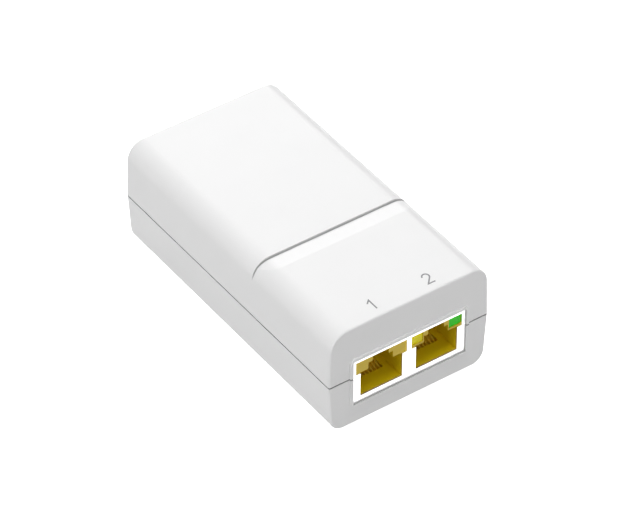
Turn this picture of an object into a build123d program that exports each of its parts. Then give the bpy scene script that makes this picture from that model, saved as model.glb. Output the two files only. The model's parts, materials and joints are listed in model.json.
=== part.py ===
"""Two-port power injector for a network cable.

A plastic case in two halves holds a mains supply board, a shielded pair of modular jacks at the
front and a mains inlet at the back. Millimetres. +X is to the right of someone facing the ports,
+Y runs from the ports to the inlet, +Z is up, and the origin lies under the middle of the object
on the surface that it stands on.
"""

import math
import os

from build123d import *

os.makedirs("parts", exist_ok=True)

# ---------------------------------------------------------------- case
case_width = 46.0  # at the parting line
case_length = 86.0  # front face to back face
upper_height = 15.4  # parting line to top
lower_height = 14.6  # parting line to underside
wall = 2.0
upper_draft = 2.0  # degrees, both halves narrow away from the parting line
lower_draft = 3.5
top_corner_radius = 5.0
bottom_corner_radius = 3.5
back_edge_radius = 0.8
front_edge_radius = 0.4
seam_height = 0.35  # the shadow line between the halves
seam_depth = 0.45
tongue_thickness = 0.9
tongue_height = 1.2

# ---------------------------------------------------------------- scooped band across the top
band_start = 26.9  # behind the front face, where the ramp leaves the top
band_length = 5.0
band_depth = 0.45
band_corner_radius = 6.2
band_groove_width = 0.45  # crisp line at the back of the band
band_groove_depth = 0.5

# ---------------------------------------------------------------- clearances
slip_gap = 0.05  # pieces that slide into each other
hole_gap = 0.1  # round a lead in the board
loose_gap = 0.3  # board to case
cut_spare = 1.0  # how far a cut runs past the surface

# ---------------------------------------------------------------- feet and case screws
foot_diameter = 8.0
foot_thickness = 1.4
foot_proud = 0.6
foot_edge_radius = 0.3
foot_inset_x = 9.0  # case edge to foot centre
foot_inset_y = 8.0
screw_diameter = 2.2
screw_head_diameter = 4.2
screw_head_height = 1.5
screw_length = 12.0  # under the head
screw_inset_x = 6.2
screw_behind_jacks = 3.6
screw_drive_width = 0.6
screw_drive_length = 2.4
screw_drive_depth = 0.8
boss_diameter = 6.0
post_diameter = 4.4
post_rib = 1.2
screw_spare = 0.5  # hole past the end of the screw

# ---------------------------------------------------------------- board
board_thickness = 1.6
board_corner_radius = 1.5
board_standoff = 2.55  # case floor to underside of the board
lead_below_board = 1.4

# ---------------------------------------------------------------- pair of modular jacks
port_pitch = 16.0
port_width = 12.1
port_height = 7.0  # plug body part of the opening
led_width = 14.7  # upper part of the opening, with the indicator windows
led_height = 3.75
latch_wide = 7.1  # slot for the plug's latch, in two steps
latch_narrow = 4.7
latch_step = 1.9
jack_width = 15.9
jack_height = 13.0
jack_depth = 16.0
cavity_depth = 12.4
port_floor = 1.55
sheet = 0.35  # shield
shield_tab_width = 1.6
shield_tab_back = 9.0  # behind the front face
lens_width = 3.6
lens_height = 3.3
lens_depth = 8.0
lens_recess = 0.25
led_lead = 0.5
led_lead_spacing = 1.8

# ---------------------------------------------------------------- contact wires
contact_count = 8
contact_pitch = 1.02
wire_width = 0.46
wire_thickness = 0.3
contact_root = 5.3  # behind the mouth of the jack
contact_length = 6.2
contact_angle = 20.0  # degrees above the floor, at rest
contact_tip = 0.8
contact_press = 9.0  # degrees that a plug turns the wires
root_radius = 0.22
floor_pocket_depth = 0.95
carrier_wall = 0.8
lead_row_spacing = 2.0

# ---------------------------------------------------------------- rim round the jack window
rim_width = 0.85
rim_height = 0.5
rim_corner = 1.9
rim_edge_radius = 0.15
window_corner = 0.25
shield_corner = 0.3
shield_tab_lap = 0.6  # up the side of the shield

# ---------------------------------------------------------------- mains inlet
inlet_width = 27.2
inlet_height = 19.6
inlet_depth = 18.0
inlet_corner = 2.0
recess_width = 24.0
recess_height = 16.4
recess_depth = 15.8
recess_chamfer = 4.6
recess_corner = 1.0
flange_width = 1.2
flange_thickness = 1.4
pin_width = 2.0
pin_height = 4.0
pin_spacing = 14.0  # line to neutral
earth_offset = 4.0  # earth above the other two
pin_behind_face = 4.8
tail_width = 1.2
tail_thickness = 0.9

# ---------------------------------------------------------------- parts on the board
lead_diameter = 0.7
edge_gap = 0.3  # side parts to the edge of the board
neighbour_gap = 0.6  # between two parts on the board
block_corner = 0.6
block_edge = 0.3
choke_size = (6.0, 12.5, 12.5)  # across, along, up
choke_hole = 5.6
choke_core_width = 3.6
winding_angle = 130.0
choke_row = 3.4
choke_lead_pitch = 9.0
varistor_size = (3.8, 8.4, 8.4)
disc_foot = 6.8
disc_lead_pitch = 5.0
fuse_size = (4.0, 8.4, 7.7)
fuse_behind_post = 1.5
fuse_lead_pitch = 5.0
x_capacitor_size = (5.0, 13.0, 11.0)
x_capacitor_behind_post = 1.1
x_capacitor_lead_pitch = 10.0
y_capacitor_size = (3.2, 7.4, 7.4)
bridge_size = (14.2, 3.4, 10.0)
bridge_lead_pitch = 3.8
transformer_size = (17.0, 17.0, 15.0)
transformer_left = 3.0  # of the middle of the case
transformer_pin_pitch = 3.5
transformer_row = 14.0
core_limb = 4.4
bobbin_cheek = 1.2
bobbin_rail = 2.4
transformer_base = 2.6
bulk_diameter = 12.4
bulk_height = 18.0
bulk_lead_pitch = 5.0
output_diameter = 8.0
output_height = 12.0
output_lead_pitch = 3.5
output_left = 11.0
can_rim = 0.7
can_groove_height = 1.2
can_groove_width = 0.8
can_groove_depth = 0.35
transistor_size = (10.2, 4.4, 9.2)
transistor_tab = (10.2, 1.3, 15.6)
transistor_lead_pitch = 2.54
sink_size = (13.0, 1.5, 17.0)
sink_screw_diameter = 3.0
sink_screw_height = 12.6
sink_screw_head = 6.0
sink_screw_head_height = 1.5
diode_size = (5.0, 7.6, 2.4)
diode_right = 5.4
coupler_size = (6.4, 4.6, 3.5)
coupler_right = 12.6
coupler_lead_pitch = 2.54
coupler_row = 5.4
chip_size = (4.0, 5.0, 1.5)
chip_leg_pitch = 1.27
chip_leg = 0.45
chip_leg_reach = 1.0
chip_leg_height = 0.7
chip_lift = 0.15
chip_bevel = 0.15
port_chip_left = 12.6
magnetics_size = (16.4, 12.6, 5.8)
magnetics_leg_pitch = 1.9
magnetics_legs = 8
magnetics_row = 10.6
magnetics_behind_jacks = 2.2

# ---------------------------------------------------------------- places worked out from the above
underside = foot_proud
parting = underside + lower_height
top = parting + upper_height
front = rim_height - (case_length + rim_height) / 2
back = front + case_length
floor_top = underside + wall
board_bottom = floor_top + board_standoff
board_top = board_bottom + board_thickness
lead_end = board_bottom - lead_below_board

shield_width = port_pitch + jack_width + 2 * sheet
shield_top = board_top + jack_height + sheet
window_width = shield_width + 2 * slip_gap
window_low = board_top - slip_gap
window_high = shield_top + slip_gap
jack_front = front + sheet
jack_back = jack_front + jack_depth
port_low = board_top + port_floor
port_high = port_low + port_height
latch_high = port_high + led_height
port_centres = [-port_pitch / 2, port_pitch / 2]
lit_port = port_centres[1]
yellow_x = lit_port - (led_width - lens_width) / 2
green_x = lit_port + (led_width - lens_width) / 2
lens_z = latch_high - lens_height / 2
led_bend_y = jack_back + sheet + wire_width
led_lead_points = [
    (lens_x + side * led_lead_spacing / 2, led_bend_y) for lens_x in (yellow_x, green_x) for side in (-1, 1)
]

inlet_front = back - inlet_depth
inlet_middle = board_top + inlet_height / 2
recess_base = back - recess_depth
pin_tip = back - pin_behind_face
pin_low = inlet_middle - earth_offset / 2
pin_high = inlet_middle + earth_offset / 2

screw_x = case_width / 2 - screw_inset_x
screw_y = -(jack_back + screw_behind_jacks)
screw_seat = underside + foot_thickness - foot_proud + screw_head_height
screw_points = [(x, y) for x in (-screw_x, screw_x) for y in (-screw_y, screw_y)]
foot_x = case_width / 2 - foot_inset_x
foot_y = case_length / 2 - foot_inset_y
foot_points = [(x, y) for x in (-foot_x, foot_x) for y in (-foot_y, foot_y)]


def write(piece, name):
    """Labels a finished piece and writes its STEP file."""
    piece.part.label = name
    export_step(piece.part, f"parts/{name}.step")


def half_width_at(z, inset):
    """Half the case's width at height z, moved inwards by inset."""
    draft = upper_draft if z > parting else lower_draft
    return case_width / 2 - inset - abs(z - parting) * math.tan(math.radians(draft))


def half_section(y, end, corner, inset):
    """Cross-section of one half of the case at y, from the parting line to its top or bottom."""
    half = case_width / 2 - inset
    far_half = half_width_at(end, inset)
    with BuildSketch(Plane.XZ.offset(-y)) as section:
        with BuildLine():
            Polyline((-half, parting), (-far_half, end), (far_half, end), (half, parting), close=True)
        make_face()
        far_corners = section.vertices().sort_by(lambda v: abs(v.Y - parting))[-2:]
        fillet(far_corners, corner)
    return section.sketch


def rounded_edges(face):
    """The edges of an end face, apart from the straight one at the parting line."""
    return face.edges().filter_by(lambda edge: abs((edge @ 0.5).Z - parting) > seam_height)


def half_shell(end, corner, floor):
    """Outer block of one half less its hollow: floor is the inner face opposite the parting line."""
    with BuildPart() as hollow:
        extrude(half_section(back - wall, floor, corner - wall, wall), amount=case_length - 2 * wall)
    with BuildPart() as shell:
        extrude(half_section(back, end, corner, 0), amount=case_length)
        fillet(rounded_edges(shell.faces().sort_by(Axis.Y)[-1]), back_edge_radius)
        fillet(rounded_edges(shell.faces().sort_by(Axis.Y)[0]), front_edge_radius)
        add(hollow.part, mode=Mode.SUBTRACT)
    return shell.part


# ---------------------------------------------------------------- tools shared by the two halves
seam_land = wall - tongue_thickness
window_middle = (window_low + window_high) / 2
window_height = window_high - window_low
inlet_window = inlet_width + 2 * slip_gap
inlet_window_height = inlet_height + 2 * slip_gap

with BuildPart() as openings:
    with BuildSketch(Plane.XZ.offset(-front - wall / 2)):
        with Locations((0, window_middle)):
            RectangleRounded(window_width, window_height, window_corner)
    extrude(amount=wall, both=True)
    with BuildSketch(Plane.XZ.offset(-back + wall / 2)):
        with Locations((0, inlet_middle)):
            RectangleRounded(inlet_window, inlet_window_height, inlet_corner)
    extrude(amount=wall, both=True)

with BuildPart() as rim:
    with BuildSketch(Plane.XZ.offset(-front)):
        with Locations((0, window_middle)):
            RectangleRounded(window_width + 2 * rim_width, window_height + 2 * rim_width, rim_corner)
    extrude(amount=rim_height)
    rim_edge = rim.faces().sort_by(Axis.Y)[0].edges()
    fillet(rim_edge, rim_edge_radius)

# The ramp's corners have the larger radius, so it fades out part way down the case's corners.
flat_half = half_width_at(top, 0) - top_corner_radius * math.tan(math.radians((90 - upper_draft) / 2))
groove_back = front + band_start + band_length
with BuildPart() as band_core:
    for behind_start in (-2 * cut_spare, band_length + cut_spare):
        ramp_top = top - band_depth * behind_start / band_length
        with BuildSketch(Plane.XZ.offset(-front - band_start - behind_start)) as ramp_section:
            with Locations((0, (parting + ramp_top) / 2)):
                Rectangle(2 * (flat_half + band_corner_radius), ramp_top - parting)
            fillet(ramp_section.vertices().group_by(Axis.Z)[-1], band_corner_radius)
    loft()

with BuildPart() as band:
    with BuildSketch(Plane.XY.offset(top - top_corner_radius)):
        with Locations((0, groove_back - (band_length + cut_spare) / 2)):
            Rectangle(case_width, band_length + cut_spare)
    extrude(amount=top_corner_radius + cut_spare)
    add(band_core.part, mode=Mode.SUBTRACT)

with BuildPart() as band_groove:
    with BuildSketch(Plane.XY.offset(top - top_corner_radius)):
        with Locations((0, groove_back - band_groove_width / 2)):
            Rectangle(case_width, band_groove_width)
    extrude(amount=top_corner_radius + cut_spare)
    groove_floor = half_section(groove_back, top - band_depth - band_groove_depth, top_corner_radius, 0)
    extrude(groove_floor, amount=band_groove_width, mode=Mode.SUBTRACT)

# ---------------------------------------------------------------- upper half of the case
with BuildPart() as upper_shell:
    add(half_shell(top, top_corner_radius, top - wall))
    rebate = seam_land - slip_gap
    with BuildSketch(Plane.XY.offset(parting)):
        with Locations((0, (front + back) / 2)):
            Rectangle(case_width - 2 * rebate, case_length - 2 * rebate)
    extrude(amount=tongue_height + hole_gap, mode=Mode.SUBTRACT)
    add(split(rim.part, bisect_by=Plane.XY.offset(parting), keep=Keep.TOP, mode=Mode.PRIVATE))
    add(band.part, mode=Mode.SUBTRACT)
    add(band_groove.part, mode=Mode.SUBTRACT)
    with BuildSketch(Plane.XY.offset(board_top)):
        with Locations(*screw_points):
            Circle(post_diameter / 2)
    extrude(amount=top - wall / 2 - board_top)
    with BuildSketch(Plane.XY.offset(parting + tongue_height + hole_gap)):
        for x, y in screw_points:
            reach = half_width_at(parting, wall / 2) - screw_x
            with Locations((x + math.copysign(reach / 2, x), y)):
                Rectangle(reach, post_rib)
    extrude(amount=top - top_corner_radius - parting)
    with BuildSketch(Plane.XY.offset(board_top)):
        with Locations(*screw_points):
            Circle(screw_diameter / 2 + slip_gap)
    extrude(amount=screw_seat + screw_length + screw_spare - board_top, mode=Mode.SUBTRACT)
    add(openings.part, mode=Mode.SUBTRACT)
write(upper_shell, "upper_shell")

# ---------------------------------------------------------------- lower half of the case
with BuildPart() as lower_shell:
    add(half_shell(underside, bottom_corner_radius, floor_top))
    with BuildSketch(Plane.XY.offset(parting)):
        with Locations((0, (front + back) / 2)):
            Rectangle(case_width - 2 * seam_land, case_length - 2 * seam_land)
            Rectangle(case_width - 2 * wall, case_length - 2 * wall, mode=Mode.SUBTRACT)
    extrude(amount=tongue_height)
    add(split(rim.part, bisect_by=Plane.XY.offset(parting), keep=Keep.BOTTOM, mode=Mode.PRIVATE))
    with BuildSketch(Plane.XY.offset(parting - seam_height)):
        with Locations((0, (front + back) / 2)):
            Rectangle(case_width + 2 * cut_spare, case_length + 2 * cut_spare)
            Rectangle(case_width - 2 * seam_depth, case_length - 2 * seam_depth, mode=Mode.SUBTRACT)
    extrude(amount=seam_height, mode=Mode.SUBTRACT)
    with BuildSketch(Plane.XY.offset(floor_top - wall / 2)):
        with Locations(*screw_points):
            Circle(boss_diameter / 2)
    extrude(amount=board_bottom - floor_top + wall / 2)
    with BuildSketch(Plane.XY.offset(lead_end - loose_gap)):
        with Locations(*led_lead_points):
            Rectangle(led_lead + 2 * hole_gap, led_lead + 2 * hole_gap)
    extrude(amount=board_bottom - lead_end + loose_gap, mode=Mode.SUBTRACT)
    with BuildSketch(Plane.XY.offset(underside)):
        with Locations(*screw_points):
            Circle(screw_head_diameter / 2 + hole_gap)
    extrude(amount=screw_seat - underside, mode=Mode.SUBTRACT)
    with BuildSketch(Plane.XY.offset(screw_seat)):
        with Locations(*screw_points):
            Circle(screw_diameter / 2 + hole_gap)
    extrude(amount=board_bottom - screw_seat, mode=Mode.SUBTRACT)
    with BuildSketch(Plane.XY.offset(underside)):
        with Locations(*foot_points):
            Circle(foot_diameter / 2 + slip_gap)
    extrude(amount=foot_thickness - foot_proud, mode=Mode.SUBTRACT)
    add(openings.part, mode=Mode.SUBTRACT)
write(lower_shell, "lower_shell")

# ---------------------------------------------------------------- feet and case screws
with BuildPart() as rubber_feet:
    with BuildSketch():
        with Locations(*foot_points):
            Circle(foot_diameter / 2)
    extrude(amount=foot_thickness)
    fillet(rubber_feet.faces().group_by(Axis.Z)[0].edges(), foot_edge_radius)
write(rubber_feet, "rubber_feet")

with BuildPart() as case_screws:
    with BuildSketch(Plane.XY.offset(screw_seat - screw_head_height)):
        with Locations(*screw_points):
            Circle(screw_head_diameter / 2)
    extrude(amount=screw_head_height)
    with BuildSketch(Plane.XY.offset(screw_seat)):
        with Locations(*screw_points):
            Circle(screw_diameter / 2)
    extrude(amount=screw_length)
    with BuildSketch(Plane.XY.offset(screw_seat - screw_head_height)):
        with Locations(*screw_points):
            Rectangle(screw_drive_length, screw_drive_width)
            Rectangle(screw_drive_width, screw_drive_length)
    extrude(amount=screw_drive_depth, mode=Mode.SUBTRACT)
write(case_screws, "case_screws")

# ---------------------------------------------------------------- pair of jacks
with BuildPart() as jack_shield:
    with BuildSketch(Plane.XZ.offset(-front)) as shield_face:
        with Locations((0, (board_top + shield_top) / 2)):
            RectangleRounded(shield_width, shield_top - board_top, shield_corner)
        for x in port_centres:
            with Locations((x, port_low + port_height / 2)):
                Rectangle(port_width, port_height, mode=Mode.SUBTRACT)
            with Locations((x, port_high + led_height / 2)):
                Rectangle(led_width, led_height, mode=Mode.SUBTRACT)
    extrude(amount=-sheet)
    with BuildSketch(Plane.XZ.offset(-jack_front)) as shield_sides:
        with Locations((0, (board_top + shield_top) / 2)):
            RectangleRounded(shield_width, shield_top - board_top, shield_corner)
        with Locations((0, (board_top + shield_top - sheet) / 2)):
            Rectangle(shield_width - 2 * sheet, shield_top - sheet - board_top, mode=Mode.SUBTRACT)
    extrude(amount=-jack_depth)
    with BuildSketch(Plane.XZ.offset(-jack_back)):
        with Locations((0, (board_top + shield_top) / 2)):
            RectangleRounded(shield_width, shield_top - board_top, shield_corner)
    extrude(amount=-sheet)
    with BuildSketch(Plane.XY.offset(lead_end)):
        for side in (-1, 1):
            with Locations((side * (shield_width - sheet) / 2, front + shield_tab_back)):
                Rectangle(sheet, shield_tab_width)
    extrude(amount=board_top + shield_tab_lap - lead_end)
    with BuildSketch(Plane.XZ.offset(-jack_back)):
        with Locations((yellow_x, lens_z), (green_x, lens_z)):
            Rectangle(lens_width, lens_height / 2)
    extrude(amount=-sheet, mode=Mode.SUBTRACT)
write(jack_shield, "jack_shield")

root_y = jack_front + contact_root
root_z = port_low - floor_pocket_depth + wire_thickness + slip_gap + root_radius
pocket_low = port_low - floor_pocket_depth
carrier_front = jack_front + cavity_depth + carrier_wall
tail_rows = (jack_back - carrier_front - lead_row_spacing) / 2
pocket_width = contact_count * contact_pitch + wire_width
wire_offsets = [(i - (contact_count - 1) / 2) * contact_pitch for i in range(contact_count)]
wire_tails = [carrier_front + tail_rows + lead_row_spacing * (i % 2) for i in range(contact_count)]

for number, x in enumerate(port_centres, start=1):
    with BuildPart() as jack_housing:
        with BuildSketch(Plane.XZ.offset(-jack_front)):
            with Locations((x, board_top + jack_height / 2)):
                Rectangle(jack_width, jack_height)
        extrude(amount=-jack_depth)
        with BuildSketch(Plane.XZ.offset(-jack_front)):
            with Locations((x, port_low + port_height / 2)):
                Rectangle(port_width, port_height)
            with Locations((x, port_high + latch_step / 2)):
                Rectangle(latch_wide, latch_step)
            with Locations((x, port_high + led_height / 2)):
                Rectangle(latch_narrow, led_height)
        extrude(amount=-cavity_depth, mode=Mode.SUBTRACT)
        with BuildSketch(Plane.XY.offset(pocket_low)):
            with Locations((x, (root_y - 2 * root_radius + jack_back) / 2)):
                Rectangle(pocket_width, jack_back - root_y + 2 * root_radius)
        extrude(amount=floor_pocket_depth, mode=Mode.SUBTRACT)
        with BuildSketch(Plane.XY.offset(board_top)):
            with Locations((x, (carrier_front + jack_back) / 2)):
                Rectangle(pocket_width, jack_back - carrier_front)
        extrude(amount=port_high - board_top, mode=Mode.SUBTRACT)
        if x == lit_port:
            with BuildSketch(Plane.XZ.offset(-jack_front)):
                with Locations((yellow_x, lens_z), (green_x, lens_z)):
                    Rectangle(lens_width, lens_height)
            extrude(amount=-lens_depth - lens_recess, mode=Mode.SUBTRACT)
            with BuildSketch(Plane.XZ.offset(-jack_front)):
                with Locations(*[(lead_x, lens_z) for lead_x, _ in led_lead_points]):
                    Rectangle(led_lead + 2 * hole_gap, led_lead + 2 * hole_gap)
            extrude(amount=-jack_depth, mode=Mode.SUBTRACT)
    write(jack_housing, f"jack_housing_{number}")

    # The carrier closes the back of the housing and holds the wires' tails.
    with BuildPart() as contact_carrier:
        with BuildSketch(Plane.XZ.offset(-carrier_front)):
            with Locations((x, (board_top + port_high) / 2)):
                Rectangle(pocket_width - 2 * slip_gap, port_high - board_top - 2 * slip_gap)
        extrude(amount=carrier_front - jack_back)
        with BuildSketch(Plane.XY.offset(board_top)):
            for offset_x, wire_tail in zip(wire_offsets, wire_tails):
                slot_length = wire_tail - carrier_front + wire_width / 2 + slip_gap
                with Locations((x + offset_x, carrier_front + slot_length / 2)):
                    Rectangle(wire_width + 2 * slip_gap, slot_length)
        extrude(amount=pocket_low + wire_thickness + slip_gap - board_top, mode=Mode.SUBTRACT)
    write(contact_carrier, f"contact_carrier_{number}")

    with BuildPart() as contact_leads:
        for offset_x, wire_tail in zip(wire_offsets, wire_tails):
            with BuildSketch(Plane.XY.offset(pocket_low)):
                with Locations((x + offset_x, (root_y + wire_tail) / 2)):
                    Rectangle(wire_width, wire_tail - root_y + wire_width)
            extrude(amount=wire_thickness)
            with BuildSketch(Plane.XY.offset(lead_end)):
                with Locations((x + offset_x, wire_tail)):
                    Rectangle(wire_width, wire_width)
            extrude(amount=pocket_low - lead_end)
    write(contact_leads, f"contact_leads_{number}")

    with BuildPart() as contact_springs:
        rise = math.radians(contact_angle)
        apex_y = root_y + contact_length * math.cos(rise)
        apex_z = root_z + contact_length * math.sin(rise)
        with BuildSketch(Plane.YZ.offset(x + wire_offsets[0] - wire_width / 2)):
            with BuildLine():
                Polyline((root_y, root_z), (apex_y, apex_z), (apex_y + contact_tip, apex_z))
                offset(amount=wire_thickness / 2, side=Side.BOTH)
            make_face()
            with Locations((root_y, root_z)):
                Circle(root_radius)
        extrude(amount=wire_width)
        first_wire = contact_springs.part
        for i in range(1, contact_count):
            add(Pos(i * contact_pitch, 0, 0) * first_wire)
    write(contact_springs, f"contact_springs_{number}")

# ---------------------------------------------------------------- indicators of the second port
for name, lens_x in (("yellow_led", yellow_x), ("green_led", green_x)):
    with BuildPart() as led:
        with BuildSketch(Plane.XZ.offset(-jack_front - lens_recess)):
            with Locations((lens_x, lens_z)):
                Rectangle(lens_width - 2 * slip_gap, lens_height - 2 * slip_gap)
        extrude(amount=-lens_depth)
    write(led, name)

led_back = jack_front + lens_recess + lens_depth
with BuildPart() as led_leads:
    for lead_x, lead_y in led_lead_points:
        with BuildSketch(Plane.XZ.offset(-led_back)):
            with Locations((lead_x, lens_z)):
                Rectangle(led_lead, led_lead)
        extrude(amount=led_back - lead_y - led_lead / 2)
        with BuildSketch(Plane.XY.offset(lead_end)):
            with Locations((lead_x, lead_y)):
                Rectangle(led_lead, led_lead)
        extrude(amount=lens_z - lead_end)
write(led_leads, "led_leads")

# ---------------------------------------------------------------- mains inlet
with BuildPart() as inlet_housing:
    with BuildSketch(Plane.XZ.offset(-back)):
        with Locations((0, inlet_middle)):
            RectangleRounded(inlet_width, inlet_height, inlet_corner)
    extrude(amount=inlet_depth)
    with BuildSketch(Plane.XZ.offset(-back + wall)):
        with Locations((0, inlet_middle + flange_width / 2)):
            RectangleRounded(inlet_width + 2 * flange_width, inlet_height + flange_width, inlet_corner)
    extrude(amount=flange_thickness)
    with BuildSketch(Plane.XZ.offset(-back)) as recess:
        with Locations((0, inlet_middle)):
            Rectangle(recess_width, recess_height)
        chamfer(recess.vertices().group_by(Axis.Y)[-1], recess_chamfer)
        fillet(recess.vertices(), recess_corner)
    extrude(amount=recess_depth, mode=Mode.SUBTRACT)
    with BuildSketch(Plane.XZ.offset(-recess_base)):
        with Locations((-pin_spacing / 2, pin_low), (pin_spacing / 2, pin_low), (0, pin_high)):
            Rectangle(pin_width + 2 * slip_gap, pin_height + 2 * slip_gap)
    extrude(amount=inlet_depth - recess_depth, mode=Mode.SUBTRACT)
write(inlet_housing, "inlet_housing")

tail_y = inlet_front - tail_thickness / 2
pins = (
    ("line_pin", -pin_spacing / 2, pin_low),
    ("neutral_pin", pin_spacing / 2, pin_low),
    ("earth_pin", 0, pin_high),
)
for name, x, z in pins:
    with BuildPart() as pin:
        with BuildSketch(Plane.XZ.offset(-pin_tip)):
            with Locations((x, z)):
                Rectangle(pin_width, pin_height)
        extrude(amount=pin_tip - inlet_front)
        tip = pin.faces().sort_by(Axis.Y)[-1]
        chamfer(tip.edges(), pin_width / 4)
        with BuildSketch(Plane.XY.offset(lead_end)):
            with Locations((x, tail_y)):
                Rectangle(tail_width, tail_thickness)
        extrude(amount=z + pin_height / 2 - lead_end)
    write(pin, name)

# ---------------------------------------------------------------- places on the board
board_half = half_width_at(board_bottom, wall) - loose_gap
board_front = front + wall + loose_gap
board_back = back - wall - loose_gap
post_back = screw_y + post_diameter / 2
x_capacitor_at = (
    board_half - edge_gap - x_capacitor_size[0] / 2,
    post_back + x_capacitor_behind_post + x_capacitor_size[1] / 2,
)
fuse_at = (edge_gap + fuse_size[0] / 2 - board_half, post_back + fuse_behind_post + fuse_size[1] / 2)
bridge_at = (0, inlet_front - tail_thickness - neighbour_gap - bridge_size[1] / 2)
primary_back = bridge_at[1] - bridge_size[1] / 2 - neighbour_gap
transformer_at = (-transformer_left, primary_back - transformer_size[1] / 2)
bulk_at = (
    transformer_at[0] + transformer_size[0] / 2 + neighbour_gap + bulk_diameter / 2,
    primary_back - bulk_diameter / 2,
)
choke_at = (edge_gap + choke_size[0] / 2 - board_half, primary_back - choke_size[1] / 2)
varistor_at = (
    edge_gap + varistor_size[0] / 2 - board_half,
    choke_at[1] - choke_size[1] / 2 - neighbour_gap - varistor_size[1] / 2,
)
sink_at = (bulk_at[0], bulk_at[1] - bulk_diameter / 2 - neighbour_gap - sink_size[1] / 2)
transistor_at = (sink_at[0], sink_at[1] - sink_size[1] / 2 - transistor_size[1] / 2)
magnetics_at = (0, jack_back + magnetics_behind_jacks + magnetics_size[1] / 2)
secondary_front = magnetics_at[1] + magnetics_size[1] / 2 + neighbour_gap
output_y = secondary_front + neighbour_gap + output_diameter / 2
output_at = [(-output_left, output_y), (neighbour_gap + output_diameter - output_left, output_y)]
diode_at = (diode_right, output_y)
coupler_at = (coupler_right, secondary_front + coupler_size[1] / 2)
y_capacitor_at = (
    board_half - edge_gap - y_capacitor_size[0] / 2,
    secondary_front + y_capacitor_size[1] / 2,
)
driver_at = (coupler_right, coupler_at[1] + coupler_size[1] / 2 + neighbour_gap + chip_size[1] / 2)
port_chip_at = (-port_chip_left, magnetics_at[1])


def row(at, pitch, count, across=0.0, along_y=False):
    """Lead points in a line about a place on the board, or in two lines set apart by across."""
    points = []
    for i in range(count):
        step = (i - (count - 1) / 2) * pitch
        for side in (-0.5, 0.5) if across else (0,):
            shift = (side * across, step) if along_y else (step, side * across)
            points.append((at[0] + shift[0], at[1] + shift[1]))
    return points


lead_points = (
    row(x_capacitor_at, x_capacitor_lead_pitch, 2, along_y=True)
    + row(fuse_at, fuse_lead_pitch, 2, along_y=True)
    + row(varistor_at, disc_lead_pitch, 2, along_y=True)
    + row(y_capacitor_at, disc_lead_pitch, 2, along_y=True)
    + row(choke_at, choke_lead_pitch, 2, across=choke_row, along_y=True)
    + row(bridge_at, bridge_lead_pitch, 4)
    + row(transformer_at, transformer_pin_pitch, 4, across=transformer_row)
    + row(bulk_at, bulk_lead_pitch, 2)
    + row(output_at[0], output_lead_pitch, 2)
    + row(output_at[1], output_lead_pitch, 2)
    + row(transistor_at, transistor_lead_pitch, 3)
    + row(coupler_at, coupler_lead_pitch, 2, across=coupler_row, along_y=True)
    + row(magnetics_at, magnetics_leg_pitch, magnetics_legs, across=magnetics_row)
)

with BuildPart() as component_leads:
    with BuildSketch(Plane.XY.offset(lead_end)):
        with Locations(*lead_points):
            Circle(lead_diameter / 2)
    extrude(amount=board_top - lead_end)
write(component_leads, "component_leads")

with BuildPart() as main_board:
    with BuildSketch(Plane.XY.offset(board_bottom)):
        with Locations((0, (board_front + board_back) / 2)):
            RectangleRounded(2 * board_half, board_back - board_front, board_corner_radius)
        with Locations(*screw_points):
            Circle(screw_diameter / 2 + hole_gap, mode=Mode.SUBTRACT)
        with Locations(*lead_points):
            Circle(lead_diameter / 2 + hole_gap, mode=Mode.SUBTRACT)
        for x in port_centres:
            for offset_x, wire_tail in zip(wire_offsets, wire_tails):
                with Locations((x + offset_x, wire_tail)):
                    Rectangle(wire_width + 2 * hole_gap, wire_width + 2 * hole_gap, mode=Mode.SUBTRACT)
        with Locations(*led_lead_points):
            Rectangle(led_lead + 2 * hole_gap, led_lead + 2 * hole_gap, mode=Mode.SUBTRACT)
        for side in (-1, 1):
            with Locations((side * (shield_width - sheet) / 2, front + shield_tab_back)):
                Rectangle(sheet + 2 * hole_gap, shield_tab_width + 2 * hole_gap, mode=Mode.SUBTRACT)
        for name, x, z in pins:
            with Locations((x, tail_y)):
                Rectangle(tail_width + 2 * hole_gap, tail_thickness + 2 * hole_gap, mode=Mode.SUBTRACT)
    extrude(amount=board_thickness)
write(main_board, "main_board")


def block(at, size):
    """A moulded block with rounded upright and top edges, standing on the board."""
    with BuildPart() as body:
        with BuildSketch(Plane.XY.offset(board_top)):
            with Locations(at):
                RectangleRounded(size[0], size[1], block_corner)
        extrude(amount=size[2])
        fillet(body.faces().sort_by(Axis.Z)[-1].edges(), block_edge)
    return body


def disc(at, size):
    """A dipped disc standing on edge, with its axis along X and a flat foot on the board."""
    with BuildPart() as body:
        with BuildSketch(Plane.YZ.offset(at[0] - size[0] / 2)):
            with Locations((at[1], board_top + size[2] / 2)):
                Circle(size[1] / 2)
            with Locations((at[1], board_top + size[2] / 4)):
                Rectangle(disc_foot, size[2] / 2)
        extrude(amount=size[0])
        fillet(body.faces().filter_by(Axis.X).edges(), block_corner)
    return body


write(block(x_capacitor_at, x_capacitor_size), "x_capacitor")
write(block(fuse_at, fuse_size), "fuse")
write(block(bridge_at, bridge_size), "bridge_rectifier")
write(block(diode_at, diode_size), "output_diode")
write(block(coupler_at, coupler_size), "optocoupler")
write(block(magnetics_at, magnetics_size), "lan_magnetics")
write(disc(varistor_at, varistor_size), "varistor")
write(disc(y_capacitor_at, y_capacitor_size), "y_capacitor")


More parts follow.
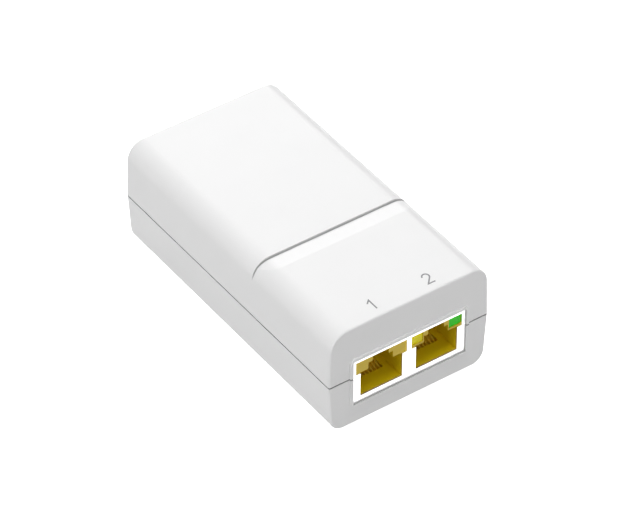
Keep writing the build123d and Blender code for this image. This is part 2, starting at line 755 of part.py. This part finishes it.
def can(at, diameter, height):
    """An electrolytic can with its rolled groove and rounded top rim."""
    with BuildPart() as body:
        with BuildSketch(Plane.XY.offset(board_top)):
            with Locations(at):
                Circle(diameter / 2)
        extrude(amount=height)
        fillet(body.faces().sort_by(Axis.Z)[-1].edges(), can_rim)
        with BuildSketch(Plane.XY.offset(board_top + can_groove_height)):
            with Locations(at):
                Circle(diameter / 2)
                Circle(diameter / 2 - can_groove_depth, mode=Mode.SUBTRACT)
        extrude(amount=can_groove_width, mode=Mode.SUBTRACT)
    return body


write(can(bulk_at, bulk_diameter, bulk_height), "bulk_capacitor")
for number, at in enumerate(output_at, start=1):
    write(can(at, output_diameter, output_height), f"output_capacitor_{number}")

# ---------------------------------------------------------------- surface-mounted chips
for name, at in (("primary_controller", driver_at), ("port_controller", port_chip_at)):
    with BuildPart() as chip:
        with BuildSketch(Plane.XY.offset(board_top + chip_lift)):
            with Locations(at):
                Rectangle(chip_size[0], chip_size[1])
        extrude(amount=chip_size[2])
        chamfer(chip.faces().sort_by(Axis.Z)[-1].edges(), chip_bevel)
        with BuildSketch(Plane.XY.offset(board_top)):
            for point in row(at, chip_leg_pitch, 4, across=chip_size[0] + chip_leg_reach, along_y=True):
                with Locations(point):
                    Rectangle(chip_leg_reach, chip_leg)
        extrude(amount=chip_leg_height)
    write(chip, name)

# ---------------------------------------------------------------- common-mode choke
choke_middle = Plane(
    origin=(choke_at[0], choke_at[1], board_top + choke_size[2] / 2), x_dir=(0, 1, 0), z_dir=(1, 0, 0)
)
winding_gap = (choke_size[0] - choke_core_width) / 2
with BuildPart() as choke_core:
    with BuildSketch(choke_middle.offset(-choke_core_width / 2)):
        Circle(choke_size[1] / 2 - winding_gap)
        Circle(choke_hole / 2 + winding_gap, mode=Mode.SUBTRACT)
    extrude(amount=choke_core_width)
write(choke_core, "choke_core")

with BuildPart() as choke_windings:
    with BuildSketch(choke_middle.offset(-choke_size[0] / 2)):
        Circle(choke_size[1] / 2)
        Circle(choke_hole / 2, mode=Mode.SUBTRACT)
    extrude(amount=choke_size[0])
    with BuildSketch(choke_middle.offset(-choke_core_width / 2 - slip_gap)):
        Circle(choke_size[1] / 2 - winding_gap + slip_gap)
        Circle(choke_hole / 2 + winding_gap - slip_gap, mode=Mode.SUBTRACT)
    extrude(amount=choke_core_width + 2 * slip_gap, mode=Mode.SUBTRACT)
    with BuildSketch(choke_middle.offset(-choke_size[0] / 2)):
        for start in (winding_angle / 2, winding_angle / 2 + 180):
            first_edge = Vector(choke_size[1], 0).rotate(Axis.Z, start)
            last_edge = Vector(choke_size[1], 0).rotate(Axis.Z, start + 180 - winding_angle)
            with BuildLine():
                Polyline((0, 0), first_edge, last_edge, close=True)
            make_face()
    extrude(amount=choke_size[0], mode=Mode.SUBTRACT)
write(choke_windings, "choke_windings")

# ---------------------------------------------------------------- transformer
core_low = board_top + transformer_base
core_high = board_top + transformer_size[2]
window_reach = transformer_size[0] / 2 - core_limb / 2
with BuildPart() as transformer_core:
    with BuildSketch(Plane.XZ.offset(-transformer_at[1])):
        with Locations((transformer_at[0], (core_low + core_high) / 2)):
            Rectangle(transformer_size[0], core_high - core_low)
            Rectangle(2 * window_reach, core_high - core_low - core_limb, mode=Mode.SUBTRACT)
            Rectangle(core_limb, core_high - core_low)
    extrude(amount=core_limb / 2, both=True)
write(transformer_core, "transformer_core")

coil_low = core_low + core_limb / 2 + slip_gap
coil_high = core_high - core_limb / 2 - slip_gap
with BuildPart() as transformer_bobbin:
    for base in (coil_low, coil_high - bobbin_cheek):
        with BuildSketch(Plane.XY.offset(base)):
            with Locations(transformer_at):
                Rectangle(2 * window_reach - 2 * slip_gap, transformer_size[1])
        extrude(amount=bobbin_cheek)
    with BuildSketch(Plane.XY.offset(coil_low)):
        with Locations(transformer_at):
            Rectangle(core_limb + 2 * bobbin_cheek, core_limb + 2 * bobbin_cheek)
    extrude(amount=coil_high - coil_low)
    for side in (-1, 1):
        rail_y = transformer_at[1] + side * transformer_row / 2
        with BuildSketch(Plane.XY.offset(board_top)):
            with Locations((transformer_at[0], rail_y)):
                Rectangle(2 * window_reach - 2 * slip_gap, bobbin_rail)
        extrude(amount=coil_low - board_top)
    with BuildSketch(Plane.XY.offset(coil_low)):
        with Locations(transformer_at):
            Rectangle(core_limb + 2 * slip_gap, core_limb + 2 * slip_gap)
    extrude(amount=coil_high - coil_low, mode=Mode.SUBTRACT)
write(transformer_bobbin, "transformer_bobbin")

with BuildPart() as transformer_winding:
    winding_low = coil_low + bobbin_cheek
    with BuildSketch(Plane.XY.offset(winding_low)):
        with Locations(transformer_at):
            winding_width = 2 * window_reach - 4 * slip_gap
            RectangleRounded(winding_width, transformer_size[1] - 3 * bobbin_cheek, bobbin_cheek)
            inner = core_limb + 2 * bobbin_cheek
            Rectangle(inner, inner, mode=Mode.SUBTRACT)
    extrude(amount=coil_high - bobbin_cheek - winding_low)
write(transformer_winding, "transformer_winding")

# ---------------------------------------------------------------- switching transistor and its heat sink
with BuildPart() as heat_sink:
    with BuildSketch(Plane.XY.offset(board_top)):
        with Locations(sink_at):
            Rectangle(sink_size[0], sink_size[1])
    extrude(amount=sink_size[2])
    with BuildSketch(Plane.XZ.offset(-sink_at[1])):
        with Locations((sink_at[0], board_top + sink_screw_height)):
            Circle(sink_screw_diameter / 2 + slip_gap)
    extrude(amount=sink_size[1], both=True, mode=Mode.SUBTRACT)
write(heat_sink, "heat_sink")

with BuildPart() as switch_transistor:
    with BuildSketch(Plane.XY.offset(board_top)):
        with Locations(transistor_at):
            Rectangle(transistor_size[0], transistor_size[1])
    extrude(amount=transistor_size[2])
    tab_y = transistor_at[1] + transistor_size[1] / 2 - transistor_tab[1] / 2
    with BuildSketch(Plane.XY.offset(board_top)):
        with Locations((transistor_at[0], tab_y)):
            Rectangle(transistor_tab[0], transistor_tab[1])
    extrude(amount=transistor_tab[2])
    with BuildSketch(Plane.XZ.offset(-tab_y)):
        with Locations((sink_at[0], board_top + sink_screw_height)):
            Circle(sink_screw_diameter / 2 + slip_gap)
    extrude(amount=transistor_tab[1], both=True, mode=Mode.SUBTRACT)
write(switch_transistor, "switch_transistor")

with BuildPart() as transistor_screw:
    tab_face = transistor_at[1] + transistor_size[1] / 2 - transistor_tab[1]
    with BuildSketch(Plane.XZ.offset(-tab_face)):
        with Locations((sink_at[0], board_top + sink_screw_height)):
            Circle(sink_screw_head / 2)
    extrude(amount=sink_screw_head_height)
    with BuildSketch(Plane.XZ.offset(-tab_face)):
        with Locations((sink_at[0], board_top + sink_screw_height)):
            Circle(sink_screw_diameter / 2)
    extrude(amount=-transistor_tab[1] - sink_size[1])
write(transistor_screw, "transistor_screw")
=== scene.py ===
"""Looks for the two-port power injector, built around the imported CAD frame. Metres."""

import json
import math

import bmesh
import bpy
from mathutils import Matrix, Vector


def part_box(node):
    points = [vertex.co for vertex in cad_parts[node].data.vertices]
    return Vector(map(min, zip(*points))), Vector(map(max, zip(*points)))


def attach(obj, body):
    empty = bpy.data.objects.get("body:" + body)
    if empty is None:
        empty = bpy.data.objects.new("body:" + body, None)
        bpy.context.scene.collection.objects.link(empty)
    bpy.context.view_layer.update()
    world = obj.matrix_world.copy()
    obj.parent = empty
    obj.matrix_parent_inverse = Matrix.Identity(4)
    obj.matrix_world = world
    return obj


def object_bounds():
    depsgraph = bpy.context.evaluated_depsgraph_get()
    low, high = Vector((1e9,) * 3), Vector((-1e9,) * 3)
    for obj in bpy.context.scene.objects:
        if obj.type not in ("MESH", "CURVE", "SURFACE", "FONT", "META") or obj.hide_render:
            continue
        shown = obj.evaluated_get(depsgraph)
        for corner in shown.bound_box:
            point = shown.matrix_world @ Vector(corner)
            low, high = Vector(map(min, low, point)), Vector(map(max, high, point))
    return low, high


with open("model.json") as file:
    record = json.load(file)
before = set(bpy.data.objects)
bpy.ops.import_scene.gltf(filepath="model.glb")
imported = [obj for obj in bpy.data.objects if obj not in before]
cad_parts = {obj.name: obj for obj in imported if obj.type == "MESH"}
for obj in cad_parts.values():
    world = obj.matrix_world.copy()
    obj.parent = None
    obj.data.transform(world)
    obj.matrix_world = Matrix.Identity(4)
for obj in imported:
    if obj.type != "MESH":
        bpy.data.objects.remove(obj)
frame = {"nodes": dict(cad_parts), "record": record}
cad_low, cad_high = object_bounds()
nodes = frame["nodes"]
scene = bpy.context.scene
MM = 0.001
centre = (cad_low + cad_high) / 2

# Where the casing's joint line and band groove lie, measured from the CAD box; shade is painted into both.
PARTING = cad_high.z - 15.4 * MM
SEAM_HEIGHT = 0.35 * MM
GROOVE_BACK = cad_low.y + 32.4 * MM
GROOVE_WIDTH = 0.45 * MM
GROOVE_REACH = 4.2 * MM  # how far below the top shade is painted into the groove
PORT_GAP_DEPTH = 3 * MM  # how far behind the front shade is painted into the gap round the shield
SKIN = 0.03 * MM  # takes in the faces that lie on a mask's edge

# How much darker the casing is painted in its crevices than on its open faces: painted shade.
PAINTED_SHADE_TONE = 0.55
GROOVE_SHADE_SHARE = 0.4  # part of that painted shade that reaches the open groove

# ---------------------------------------------------------------- camera
# The direction it looks from is in degrees, and its aim is measured from the middle of the CAD box.
VIEW_AZIMUTH = -35.09
VIEW_ELEVATION = 40.94
VIEW_DISTANCE = 0.9263
VIEW_LENS = 233.0
SENSOR_WIDTH = 36.0
CLIP_NEAR = 0.05
CLIP_FAR = 20.0
AIM_OFFSET = Vector((-15.33, -23.73, 22.88)) * MM


def direction(azimuth, elevation):
    """Unit vector from the object towards a place seen at these angles, in degrees from the front."""
    turn = math.radians(azimuth)
    climb = math.radians(elevation)
    return Vector((math.sin(turn) * math.cos(climb), -math.cos(turn) * math.cos(climb), math.sin(climb)))


def face(thing, way):
    """Turns a camera or light to look back along a direction."""
    thing.rotation_mode = "QUATERNION"
    thing.rotation_quaternion = (-way).to_track_quat("-Z", "Y")


def make_camera():
    back = direction(VIEW_AZIMUTH, VIEW_ELEVATION)
    camera = bpy.data.objects.new("camera", bpy.data.cameras.new("camera"))
    scene.collection.objects.link(camera)
    camera.location = centre + AIM_OFFSET + back * VIEW_DISTANCE
    face(camera, back)
    camera.data.lens = VIEW_LENS
    camera.data.sensor_width = SENSOR_WIDTH
    camera.data.clip_start = CLIP_NEAR
    camera.data.clip_end = CLIP_FAR
    scene.camera = camera


# ---------------------------------------------------------------- node helpers
def new_material(name):
    """A material with only its shader and output, ready for more nodes."""
    material = bpy.data.materials.new(name)
    material.use_nodes = True
    shader = material.node_tree.nodes["Principled BSDF"]
    return material, material.node_tree, shader


def add_node(tree, kind, **inputs):
    node = tree.nodes.new(kind)
    for socket, value in inputs.items():
        node.inputs[socket.replace("_", " ")].default_value = value
    return node


def object_position(tree):
    return tree.nodes.new("ShaderNodeTexCoord").outputs["Object"]


def noise(tree, position, scale, detail=3.0, roughness=0.55):
    node = add_node(tree, "ShaderNodeTexNoise", Scale=scale, Detail=detail, Roughness=roughness)
    tree.links.new(position, node.inputs["Vector"])
    return node.outputs["Fac"]


def ramp(tree, factor, stops):
    """Colour ramp from (place, colour) stops."""
    node = tree.nodes.new("ShaderNodeValToRGB")
    tree.links.new(factor, node.inputs["Fac"])
    elements = node.color_ramp.elements
    while len(elements) < len(stops):
        elements.new(0.5)
    for element, (place, colour) in zip(elements, stops):
        element.position = place
        element.color = (*colour, 1.0)
    return node.outputs["Color"]


def spread(tree, factor, low, high):
    """Maps 0..1 to low..high."""
    node = tree.nodes.new("ShaderNodeMapRange")
    tree.links.new(factor, node.inputs["Value"])
    node.inputs["To Min"].default_value = low
    node.inputs["To Max"].default_value = high
    return node.outputs["Result"]


def bump(tree, shader, height, strength, distance):
    node = add_node(tree, "ShaderNodeBump", Strength=strength, Distance=distance)
    tree.links.new(height, node.inputs["Height"])
    tree.links.new(node.outputs["Normal"], shader.inputs["Normal"])


def shade(colour, factor):
    return tuple(min(1.0, channel * factor) for channel in colour)


def mottled(tree, factor, colour, amount):
    """The colour, a little darker and lighter in slow clouds."""
    return ramp(tree, factor, [(0.3, shade(colour, 1.0 - amount)), (0.7, shade(colour, 1.0 + amount))])


def uneven(tree, shader, factor, roughness, amount):
    """Sheen that varies about a middle roughness."""
    tree.links.new(spread(tree, factor, roughness - amount, roughness + amount), shader.inputs["Roughness"])


# ---------------------------------------------------------------- materials
# Noise scales are in waves per metre, and bump depths in metres.
SLOW_CLOUDS = 90.0
CASE_GRAIN = 3600.0
JACK_GRAIN = 2500.0
JACK_FLECKS = 320.0
JACK_TURN = 0.5 * MM  # from the tan mouth to the mustard inside
GRAIN_STRENGTH = 0.35
FINE_DEPTH = 0.02 * MM


def moulded_plastic(name, colour, roughness, grain, grain_depth, mottle, coat):
    """Injection-moulded plastic: fine spark-eroded grain, slow colour mottle and uneven sheen."""
    material, tree, shader = new_material(name)
    position = object_position(tree)
    slow = noise(tree, position, SLOW_CLOUDS, 2.0)
    fine = noise(tree, position, grain, 4.0, 0.7)
    tree.links.new(mottled(tree, slow, colour, mottle), shader.inputs["Base Color"])
    uneven(tree, shader, fine, roughness, 0.06)
    shader.inputs["Coat Weight"].default_value = coat
    bump(tree, shader, fine, GRAIN_STRENGTH, grain_depth)
    return material


def within(tree, axis, low, high):
    """1 where a coordinate lies between two values."""
    node = tree.nodes.new("ShaderNodeMath")
    node.operation = "COMPARE"
    tree.links.new(axis, node.inputs[0])
    node.inputs[1].default_value = (low + high) / 2
    node.inputs[2].default_value = (high - low) / 2
    return node.outputs["Value"]


def combine(tree, operation, first, second):
    node = tree.nodes.new("ShaderNodeMath")
    node.operation = operation
    tree.links.new(first, node.inputs[0])
    tree.links.new(second, node.inputs[1])
    return node.outputs["Value"]


def crevice_shade_mask(tree, position):
    """Mask of painted shade: 1 down in the seam and the gap round the shield, less in the band groove, 0 on
    the open faces.
    """
    axes = tree.nodes.new("ShaderNodeSeparateXYZ")
    tree.links.new(position, axes.inputs["Vector"])
    x, y, z = (axes.outputs[axis] for axis in "XYZ")
    seam = within(tree, z, PARTING - SEAM_HEIGHT - SKIN, PARTING + SKIN)
    groove = combine(
        tree, "MULTIPLY", within(tree, y, GROOVE_BACK - GROOVE_WIDTH - SKIN, GROOVE_BACK + SKIN),
        within(tree, z, cad_high.z - GROOVE_REACH, cad_high.z + SKIN),
    )
    shield_low, shield_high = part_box("jack_shield")
    board_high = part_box("main_board")[1].z
    gap = combine(
        tree, "MULTIPLY", within(tree, x, shield_low.x - 2 * SKIN, shield_high.x + 2 * SKIN),
        within(tree, z, board_high - 2 * SKIN, shield_high.z + 2 * SKIN),
    )
    gap = combine(tree, "MULTIPLY", gap, within(tree, y, cad_low.y + SKIN, cad_low.y + PORT_GAP_DEPTH))
    lines = combine(tree, "MAXIMUM", seam, spread(tree, groove, 0.0, GROOVE_SHADE_SHARE))
    return combine(tree, "MAXIMUM", lines, gap)


def case_plastic(name, colour, roughness):
    """White casing: satin spark-eroded skin, with shade painted darker down in its crevices."""
    material, tree, shader = new_material(name)
    position = object_position(tree)
    slow = noise(tree, position, SLOW_CLOUDS, 2.0)
    fine = noise(tree, position, CASE_GRAIN, 4.0, 0.7)
    # Painted shade: slow clouds that vary the darkened crevice colour.
    shade_clouds = noise(tree, position, 500.0, 3.0)
    skin = tree.nodes.new("ShaderNodeMix")
    skin.data_type = "RGBA"
    # Painted shade is mixed in where the crevice mask is 1.
    tree.links.new(crevice_shade_mask(tree, position), skin.inputs["Factor"])
    tree.links.new(mottled(tree, slow, colour, 0.006), skin.inputs["A"])
    # Painted shade: the crevice colour, darker than the open faces.
    painted_shade_low = shade(colour, PAINTED_SHADE_TONE * 0.9)
    painted_shade_high = shade(colour, PAINTED_SHADE_TONE * 1.1)
    tree.links.new(ramp(tree, shade_clouds, [(0.3, painted_shade_low), (0.7, painted_shade_high)]), skin.inputs["B"])
    tree.links.new(skin.outputs["Result"], shader.inputs["Base Color"])
    uneven(tree, shader, fine, roughness, 0.06)
    bump(tree, shader, fine, GRAIN_STRENGTH, FINE_DEPTH)
    return material


def jack_plastic(name, front_colour, inner_colour, front_y, roughness):
    """Jack housing plastic: matte tan at the mouth, deeper mustard inside, with flecks of the other."""
    material, tree, shader = new_material(name)
    position = object_position(tree)
    fine = noise(tree, position, JACK_GRAIN, 4.0, 0.7)
    along = tree.nodes.new("ShaderNodeSeparateXYZ")
    tree.links.new(position, along.inputs["Vector"])
    depth = tree.nodes.new("ShaderNodeMapRange")
    depth.inputs["From Min"].default_value = front_y
    depth.inputs["From Max"].default_value = front_y + JACK_TURN
    tree.links.new(along.outputs["Y"], depth.inputs["Value"])
    flecks = tree.nodes.new("ShaderNodeMath")
    flecks.operation = "MULTIPLY_ADD"
    flecks.inputs[1].default_value = 0.12
    tree.links.new(noise(tree, position, JACK_FLECKS, 3.0), flecks.inputs[0])
    tree.links.new(depth.outputs["Result"], flecks.inputs[2])
    colour_out = ramp(tree, flecks.outputs["Value"], [(0.0, front_colour), (1.0, inner_colour)])
    tree.links.new(colour_out, shader.inputs["Base Color"])
    uneven(tree, shader, fine, roughness, 0.08)
    shader.inputs["Specular IOR Level"].default_value = 0.2
    bump(tree, shader, fine, GRAIN_STRENGTH, FINE_DEPTH)
    return material


def metal(name, colour, roughness, streak, depth, mottle):
    """Plated or bare metal with rolling streaks, drawn out where the scale is small, and cloudy colour."""
    material, tree, shader = new_material(name)
    mapping = tree.nodes.new("ShaderNodeMapping")
    mapping.inputs["Scale"].default_value = streak
    tree.links.new(object_position(tree), mapping.inputs["Vector"])
    streaks = noise(tree, mapping.outputs["Vector"], 1800.0, 3.0)
    clouds = noise(tree, object_position(tree), 300.0, 2.0)
    tree.links.new(mottled(tree, clouds, colour, mottle), shader.inputs["Base Color"])
    uneven(tree, shader, streaks, roughness, 0.07)
    shader.inputs["Metallic"].default_value = 1.0
    bump(tree, shader, streaks, 0.3, depth)
    return material


def lens(name, colour, glow):
    """Tinted indicator lens, lit a little from within, with cloudy moulding haze."""
    material, tree, shader = new_material(name)
    haze = noise(tree, object_position(tree), 700.0, 3.0)
    colour_out = ramp(tree, haze, [(0.25, shade(colour, 0.85)), (0.75, shade(colour, 1.12))])
    tree.links.new(colour_out, shader.inputs["Base Color"])
    tree.links.new(colour_out, shader.inputs["Emission Color"])
    shader.inputs["Emission Strength"].default_value = glow
    tree.links.new(spread(tree, haze, 0.16, 0.3), shader.inputs["Roughness"])
    shader.inputs["Specular IOR Level"].default_value = 0.12
    shader.inputs["Subsurface Weight"].default_value = 0.2
    shader.inputs["Subsurface Radius"].default_value = (MM, MM, MM)
    bump(tree, shader, haze, 0.2, FINE_DEPTH)
    return material


def rubber(name, colour):
    """Matte rubber with fine pores and a dusty bloom."""
    material, tree, shader = new_material(name)
    position = object_position(tree)
    bloom = noise(tree, position, 260.0, 5.0, 0.65)
    pores = noise(tree, position, 5200.0, 2.0)
    colour_out = ramp(tree, bloom, [(0.35, shade(colour, 0.8)), (0.75, shade(colour, 1.25))])
    tree.links.new(colour_out, shader.inputs["Base Color"])
    tree.links.new(spread(tree, bloom, 0.75, 0.95), shader.inputs["Roughness"])
    bump(tree, shader, pores, 0.5, 0.03 * MM)
    return material


def board_laminate(name):
    """Green solder mask over glass cloth: the weave in its sheen, paler copper tracks beneath."""
    material, tree, shader = new_material(name)
    position = object_position(tree)
    weave = tree.nodes.new("ShaderNodeTexChecker")
    weave.inputs["Scale"].default_value = 2600.0
    tree.links.new(position, weave.inputs["Vector"])
    tracks = tree.nodes.new("ShaderNodeTexBrick")
    tracks.inputs["Scale"].default_value = 120.0
    tracks.inputs["Mortar Size"].default_value = 0.03
    tracks.inputs["Color1"].default_value = (0.010, 0.085, 0.035, 1.0)
    tracks.inputs["Color2"].default_value = (0.014, 0.105, 0.042, 1.0)
    tracks.inputs["Mortar"].default_value = (0.035, 0.22, 0.075, 1.0)
    tree.links.new(position, tracks.inputs["Vector"])
    tree.links.new(tracks.outputs["Color"], shader.inputs["Base Color"])
    tree.links.new(spread(tree, weave.outputs["Fac"], 0.24, 0.34), shader.inputs["Roughness"])
    bump(tree, shader, tracks.outputs["Fac"], 0.25, 0.03 * MM)
    return material


def windings(name, colour, turns):
    """Enamelled wire or tape laid in close turns about the vertical."""
    material, tree, shader = new_material(name)
    wave = tree.nodes.new("ShaderNodeTexWave")
    wave.bands_direction = "Z"
    wave.inputs["Scale"].default_value = turns
    wave.inputs["Distortion"].default_value = 0.6
    tree.links.new(object_position(tree), wave.inputs["Vector"])
    colour_out = ramp(tree, wave.outputs["Fac"], [(0.1, shade(colour, 0.6)), (0.7, shade(colour, 1.1))])
    tree.links.new(colour_out, shader.inputs["Base Color"])
    tree.links.new(spread(tree, wave.outputs["Fac"], 0.45, 0.25), shader.inputs["Roughness"])
    bump(tree, shader, wave.outputs["Fac"], 0.6, 0.1 * MM)
    return material


ANY_WAY = (1.0, 1.0, 1.0)

# slot: colour, roughness, grain scale, grain depth, mottle, clear coat
MOULDED = {
    "print_grey": ((0.26, 0.26, 0.27), 0.5, 2600.0, 0.01 * MM, 0.12, 0.0),
    "carrier_plastic": ((0.30, 0.21, 0.01), 0.5, 2500.0, 0.02 * MM, 0.05, 0.0),
    "inlet_black": ((0.018, 0.018, 0.020), 0.5, 2600.0, 0.04 * MM, 0.2, 0.0),
    "film_yellow": ((0.72, 0.50, 0.03), 0.45, 1500.0, 0.03 * MM, 0.05, 0.0),
    "fuse_brown": ((0.10, 0.045, 0.02), 0.4, 1500.0, 0.03 * MM, 0.1, 0.0),
    "package_black": ((0.022, 0.022, 0.024), 0.55, 3000.0, 0.04 * MM, 0.15, 0.0),
    "package_white": ((0.68, 0.68, 0.64), 0.5, 3000.0, 0.03 * MM, 0.04, 0.0),
    "varistor_blue": ((0.02, 0.07, 0.34), 0.3, 700.0, 0.06 * MM, 0.12, 0.4),
    "disc_orange": ((0.66, 0.19, 0.02), 0.3, 700.0, 0.06 * MM, 0.1, 0.4),
    "can_black": ((0.03, 0.03, 0.034), 0.28, 500.0, 0.02 * MM, 0.2, 0.5),
    "ferrite": ((0.045, 0.045, 0.047), 0.6, 1900.0, 0.06 * MM, 0.2, 0.0),
    "bobbin_plastic": ((0.03, 0.03, 0.03), 0.45, 2500.0, 0.03 * MM, 0.15, 0.0),
}

# slot: colour, roughness, streak scale along each axis, streak depth, mottle
METALS = {
    "screw_steel": ((0.62, 0.62, 0.64), 0.32, ANY_WAY, 0.01 * MM, 0.06),
    "shield_tin": ((0.95, 0.95, 0.95), 0.38, (0.15, 1.0, 1.0), 0.004 * MM, 0.01),
    "contact_gold": ((0.95, 0.80, 0.12), 0.55, (1.0, 0.1, 0.1), 0.01 * MM, 0.06),
    "tinned_lead": ((0.78, 0.78, 0.80), 0.35, ANY_WAY, 0.01 * MM, 0.06),
    "pin_metal": ((0.80, 0.76, 0.66), 0.25, (1.0, 0.1, 1.0), 0.01 * MM, 0.06),
    "sink_aluminium": ((0.80, 0.80, 0.81), 0.33, (0.1, 1.0, 1.0), 0.01 * MM, 0.06),
}

MATERIALS = {
    "case_white": case_plastic("case_white", (0.80, 0.80, 0.80), 0.42),
    "foot_rubber": rubber("foot_rubber", (0.10, 0.10, 0.105)),
    "jack_plastic": jack_plastic(
        "jack_plastic", (0.71, 0.52, 0.07), (0.74, 0.56, 0.004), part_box("jack_housing_1")[0].y, 0.5
    ),
    "lens_yellow": lens("lens_yellow", (0.80, 0.70, 0.002), 0.08),
    "lens_green": lens("lens_green", (0.02, 0.58, 0.004), 0.14),
    "board_green": board_laminate("board_green"),
    "copper_wire": windings("copper_wire", (0.55, 0.20, 0.07), 900.0),
    "winding_tape": windings("winding_tape", (0.75, 0.55, 0.06), 330.0),
}
MATERIALS.update({slot: moulded_plastic(slot, *values) for slot, values in MOULDED.items()})
MATERIALS.update({slot: metal(slot, *values) for slot, values in METALS.items()})


def dress_nodes():
    """Gives every CAD node the material of its slot."""
    for part in frame["record"]["subparts"]:
        node = nodes[part["node"]]
        node.data.materials.clear()
        node.data.materials.append(MATERIALS[part["material_slot"]])


# ---------------------------------------------------------------- floor and light
FLOOR_SIZE = 6.0
FLOOR_GLOW = 1.15
FLOOR_GAP = 0.02 * MM  # keeps it clear of the undersides of the feet

# Brightness of the surroundings overhead, level with the object and underfoot.
SKY = 0.12
HORIZON = 0.42
GROUND = 0.06

LIGHT_DISTANCE = 1.6

# soft box: azimuth and elevation it stands at, size, watts
SOFT_BOXES = {
    "top_light": (0.0, 90.0, 1.2, 14.5),
    "back_light": (150.0, 27.0, 0.7, 10.0),
    "left_light": (-90.0, 20.0, 1.0, 10.8),
    "front_light": (0.0, 20.0, 1.0, 8.2),
}


def make_floor():
    """White table that keeps its own brightness, so it neither tints the sides nor goes grey in shadow."""
    bpy.ops.mesh.primitive_plane_add(size=FLOOR_SIZE, location=(centre.x, centre.y, cad_low.z - FLOOR_GAP))
    floor = bpy.context.object
    floor.name = "studio_floor"
    material, tree, shader = new_material("studio_floor")
    paper = noise(tree, object_position(tree), 40.0, 2.0)
    white = ramp(tree, paper, [(0.3, (0.93, 0.93, 0.93)), (0.7, (0.95, 0.95, 0.95))])
    tree.links.new(white, shader.inputs["Base Color"])
    tree.links.new(white, shader.inputs["Emission Color"])
    shader.inputs["Emission Strength"].default_value = FLOOR_GLOW
    shader.inputs["Roughness"].default_value = 0.9
    shader.inputs["Specular IOR Level"].default_value = 0.0
    floor.data.materials.append(material)
    floor.visible_diffuse = False
    floor.visible_shadow = False


def soft_box(name, azimuth, elevation, size, watts):
    """A square area light that faces the object."""
    lamp = bpy.data.lights.new(name, "AREA")
    lamp.shape = "SQUARE"
    lamp.size = size
    lamp.energy = watts
    light = bpy.data.objects.new(name, lamp)
    scene.collection.objects.link(light)
    way = direction(azimuth, elevation)
    light.location = centre + way * LIGHT_DISTANCE
    face(light, way)


def make_world():
    """Grey surroundings, brightest level with the object and dimmer overhead and underfoot."""
    world = bpy.data.worlds.new("studio")
    scene.world = world
    world.use_nodes = True
    tree = world.node_tree
    background = tree.nodes["Background"]
    height = tree.nodes.new("ShaderNodeSeparateXYZ")
    tree.links.new(tree.nodes.new("ShaderNodeTexCoord").outputs["Generated"], height.inputs["Vector"])
    place = tree.nodes.new("ShaderNodeMapRange")
    place.inputs["From Min"].default_value = -1.0
    tree.links.new(height.outputs["Z"], place.inputs["Value"])
    greys = [(0.25, (GROUND,) * 3), (0.5, (HORIZON,) * 3), (0.85, (SKY,) * 3)]
    grey = ramp(tree, place.outputs["Result"], greys)
    tree.links.new(grey, background.inputs["Color"])
    background.inputs["Strength"].default_value = 1.0


def make_light():
    make_world()
    for name, values in SOFT_BOXES.items():
        soft_box(name, *values)
    scene.view_settings.view_transform = "Standard"
    scene.view_settings.look = "None"


# ---------------------------------------------------------------- port numbers on the top
NUMBER_HEIGHT = 3.4 * MM
NUMBER_STROKE = 0.36 * MM
NUMBER_THICKNESS = 0.03 * MM
NUMBER_BEHIND_FRONT = 3.0 * MM

# The bow of the 2, in parts of its height and degrees: a clockwise turn that ends above the foot.
BOW_CENTRE = 0.72
BOW_HALF_WIDTH = 0.27
BOW_HALF_HEIGHT = 0.28
BOW_START = 170.0
BOW_STEP = 17.5
BOW_POINTS = 13

SHARPEST_MITRE = 0.4


def one_points():
    """Centre line of a plain 1, one unit high."""
    return [(-0.22, 0.72), (0.08, 1.0), (0.08, 0.0)]


def two_points():
    """Centre line of a plain 2, one unit high."""
    bow = [math.radians(BOW_START - BOW_STEP * step) for step in range(BOW_POINTS)]
    points = [
        (BOW_HALF_WIDTH * math.cos(turn), BOW_CENTRE + BOW_HALF_HEIGHT * math.sin(turn)) for turn in bow
    ]
    return points + [(-0.28, 0.0), (0.30, 0.0)]


def stroke_mesh(name, points, width, thickness):
    """A flat ribbon of even width along a centre line, with its sides square to the surface."""
    sides = ([], [])
    for index, here in enumerate(points):
        before = points[max(index - 1, 0)]
        after = points[min(index + 1, len(points) - 1)]
        into = (here - before).normalized() if index else (after - here).normalized()
        out = (after - here).normalized() if index < len(points) - 1 else into
        across = Vector((-(into.y + out.y), into.x + out.x)).normalized()
        reach = width / 2 / max(SHARPEST_MITRE, across.dot(Vector((-into.y, into.x))))
        sides[0].append(here + across * reach)
        sides[1].append(here - across * reach)
    ring = sides[0] + sides[1][::-1]
    count = len(points)
    vertices = [(p.x, p.y, z) for z in (0.0, thickness) for p in ring]
    total = 2 * count
    faces = []
    for index in range(count - 1):
        quad = (index, index + 1, total - 2 - index, total - 1 - index)
        faces.append(quad[::-1])
        faces.append(tuple(total + corner for corner in quad))
    for index in range(total):
        after = (index + 1) % total
        faces.append((index, after, total + after, total + index))
    mesh = bpy.data.meshes.new(name)
    mesh.from_pydata(vertices, [], faces)
    work = bmesh.new()
    work.from_mesh(mesh)
    bmesh.ops.recalc_face_normals(work, faces=work.faces)
    work.to_mesh(mesh)
    work.free()
    return mesh


def print_numbers():
    """Thin grey port numbers, printed just behind the front edge above each port."""
    low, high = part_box("upper_shell")
    for number, outline in ((1, one_points()), (2, two_points())):
        jack_low, jack_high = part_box(f"jack_housing_{number}")
        points = [Vector(point) * NUMBER_HEIGHT for point in outline]
        mesh = stroke_mesh(f"port_number_{number}", points, NUMBER_STROKE, NUMBER_THICKNESS)
        piece = bpy.data.objects.new(f"port_number_{number}", mesh)
        scene.collection.objects.link(piece)
        piece.location = ((jack_low.x + jack_high.x) / 2, low.y + NUMBER_BEHIND_FRONT, high.z)
        mesh.materials.append(MATERIALS["print_grey"])
        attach(piece, "case")


make_camera()
dress_nodes()
print_numbers()
make_floor()
make_light()
